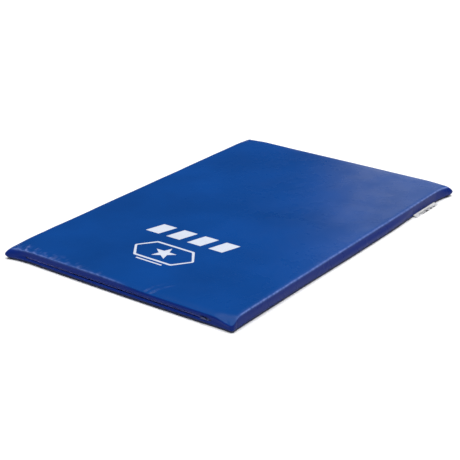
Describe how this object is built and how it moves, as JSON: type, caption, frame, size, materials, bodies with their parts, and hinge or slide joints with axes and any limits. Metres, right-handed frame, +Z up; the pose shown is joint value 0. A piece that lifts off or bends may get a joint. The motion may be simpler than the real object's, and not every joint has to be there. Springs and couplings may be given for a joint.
{
  "type": "crash landing mat",
  "caption": "Flat rectangular landing mat: layered foam in a glossy blue zipped vinyl cover, with webbing carry handles along one long side and a sewn-in tag.",
  "frame": {"origin": "middle of the underside, where the mat rests on the floor", "axes": "+X across the width towards the side with the care tag, +Y along the length away from the end with the zip, +Z up"},
  "size_m": [1.2559, 1.808, 0.0582],
  "materials": {
    "cover_vinyl": "smooth glossy coated vinyl, royal blue",
    "base_vinyl": "dimpled non-slip vinyl, dark blue",
    "foam_firm": "closed-cell polyethylene foam, off-white",
    "foam_soft": "open-cell polyurethane foam, pale grey",
    "binding_tape": "woven polyester binding tape, navy",
    "zip_tape": "woven polyester zip tape, dark blue",
    "zip_coil": "moulded nylon, dark blue",
    "zip_metal": "die-cast zinc, dark plated",
    "webbing": "woven polypropylene webbing, navy",
    "tag_cloth": "printed white satin label cloth",
    "tag_ink": "black label ink",
    "white_print": "white screen print"
  },
  "bodies": {
    "mat": {"foam_base_layer": "foam_firm", "foam_core": "foam_soft", "foam_landing_layer": "foam_firm", "cover_top_sheet": "cover_vinyl", "side_band_right": "cover_vinyl", "side_band_left": "cover_vinyl", "side_band_back": "cover_vinyl", "front_band_upper": "cover_vinyl", "front_band_lower": "cover_vinyl", "handle_patches": "cover_vinyl", "base_sheet": "base_vinyl", "top_seam_binding": "binding_tape", "base_seam_binding": "binding_tape", "zip_tape_upper": "zip_tape", "zip_tape_lower": "zip_tape", "zip_coil_upper": "zip_coil", "zip_coil_lower": "zip_coil", "zip_end_stops": "zip_metal", "handle_front_ends": "webbing", "handle_rear_ends": "webbing", "top_print_bars": "white_print", "top_print_emblem": "white_print"},
    "zip_slider": {"zip_slider": "zip_metal"},
    "zip_pull": {"zip_pull": "zip_metal"},
    "care_tag": {"care_tag": "tag_cloth", "care_tag_print": "tag_ink"},
    "handle_front": {"handle_front_grip": "webbing"},
    "handle_rear": {"handle_rear_grip": "webbing"}
  },
  "joints": [
    {"name": "zip_slide", "type": "slide", "parent": "mat", "child": "zip_slider", "axis": [-1, 0, 0], "range_m": [0, 0.965]},
    {"name": "pull_swing", "type": "hinge", "parent": "zip_slider", "child": "zip_pull", "pos_m": [0.478, -0.9059, 0.027], "axis": [0, 0, 1], "range_deg": [0, 180]},
    {"name": "tag_lift", "type": "hinge", "parent": "mat", "child": "care_tag", "pos_m": [0.6008, 0.665, 0.0094], "axis": [0, -1, 0], "range_deg": [0, 100]},
    {"name": "handle_front_swing", "type": "hinge", "parent": "mat", "child": "handle_front", "pos_m": [-0.601, -0.45, 0.03], "axis": [0, 1, 0], "range_deg": [-35, 35]},
    {"name": "handle_rear_swing", "type": "hinge", "parent": "mat", "child": "handle_rear", "pos_m": [-0.601, 0.45, 0.03], "axis": [0, 1, 0], "range_deg": [-35, 35]}
  ]
}
